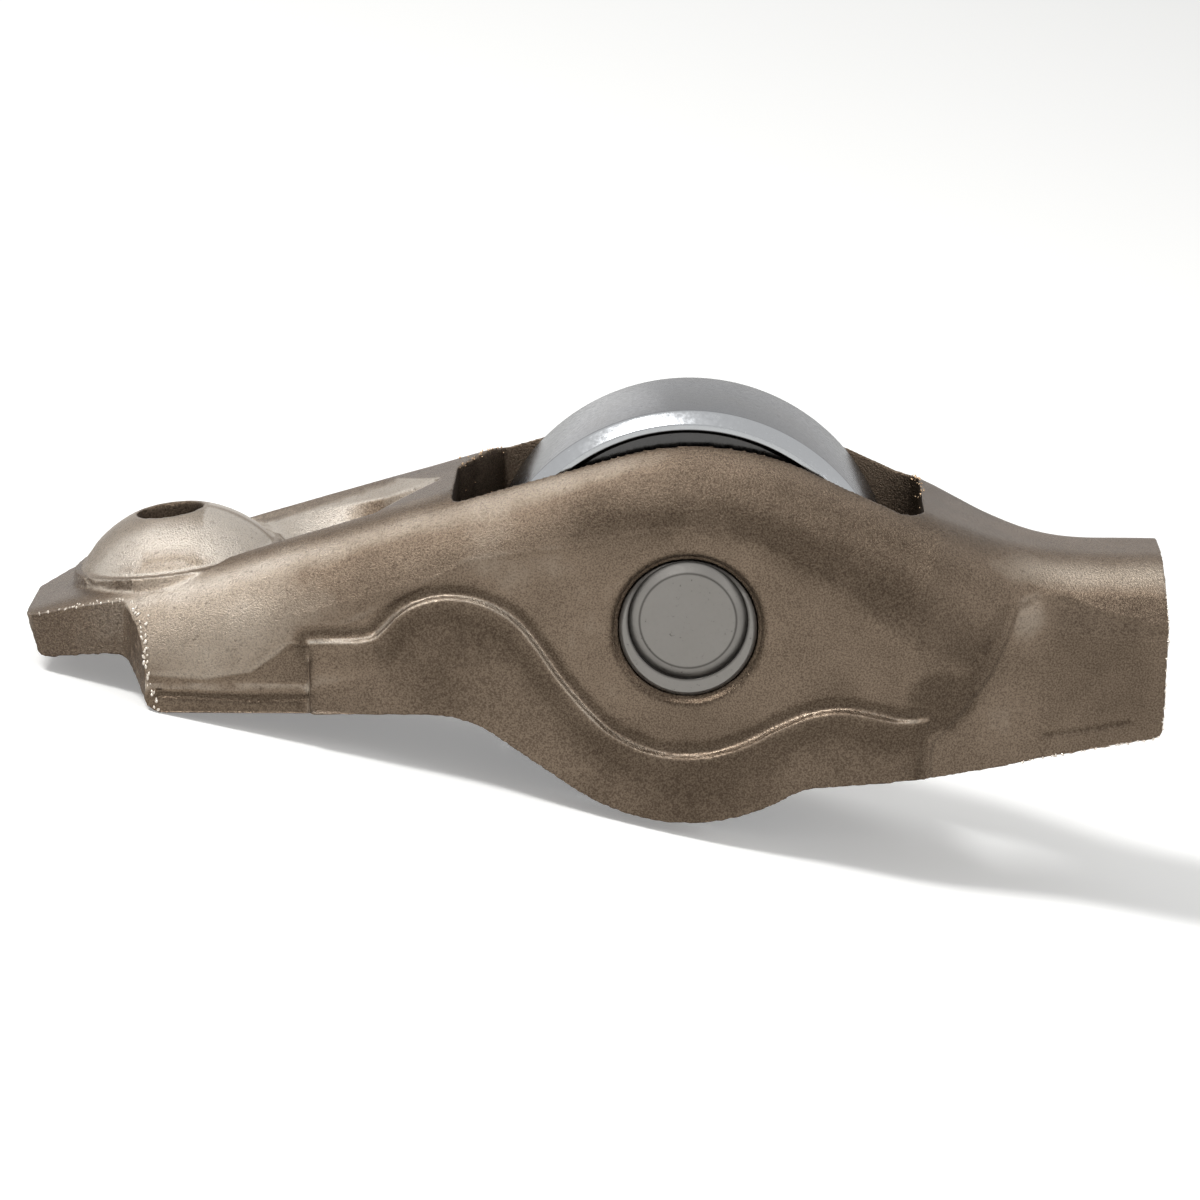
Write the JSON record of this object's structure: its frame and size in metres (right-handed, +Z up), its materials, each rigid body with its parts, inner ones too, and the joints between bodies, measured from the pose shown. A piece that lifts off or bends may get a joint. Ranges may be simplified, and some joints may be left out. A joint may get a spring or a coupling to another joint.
{
  "type": "rocker arm",
  "caption": "Roller finger follower: folded steel rocker arm with a ball socket at one end, a needle-bearing cam roller in its slot and a narrowed valve end.",
  "frame": {"origin": "centre of the ball that the pivot socket sits on", "axes": "+X from the pivot end to the valve end along the floor that the arm rests on, +Y along the axle, +Z up"},
  "size_m": [0.0582, 0.0158, 0.0213],
  "materials": {
    "arm_steel": "satin, slightly tarnished stamping",
    "pin_steel": "ground, satin",
    "roller_steel": "ground, fine satin",
    "needle_steel": "polished"
  },
  "bodies": {
    "arm": {"rocker_body": "arm_steel", "axle_pin": "pin_steel"},
    "roller": {"roller": "roller_steel"},
    "needle_set": {"needle_01": "needle_steel", "needle_02": "needle_steel", "needle_03": "needle_steel", "needle_04": "needle_steel", "needle_05": "needle_steel", "needle_06": "needle_steel", "needle_07": "needle_steel", "needle_08": "needle_steel", "needle_09": "needle_steel", "needle_10": "needle_steel", "needle_11": "needle_steel", "needle_12": "needle_steel", "needle_13": "needle_steel", "needle_14": "needle_steel", "needle_15": "needle_steel", "needle_16": "needle_steel", "needle_17": "needle_steel"}
  },
  "joints": [
    {"name": "roller_spin", "type": "hinge", "parent": "arm", "child": "roller", "pos_m": [0.02506, 0, 0.00748], "axis": [0, 1, 0], "continuous": true},
    {"name": "needle_orbit", "type": "hinge", "parent": "arm", "child": "needle_set", "pos_m": [0.02506, 0, 0.00748], "axis": [0, 1, 0], "continuous": true}
  ],
  "couplings": [
    {"joint": "needle_orbit", "follows": "roller_spin", "ratio": 0.5911}
  ]
}
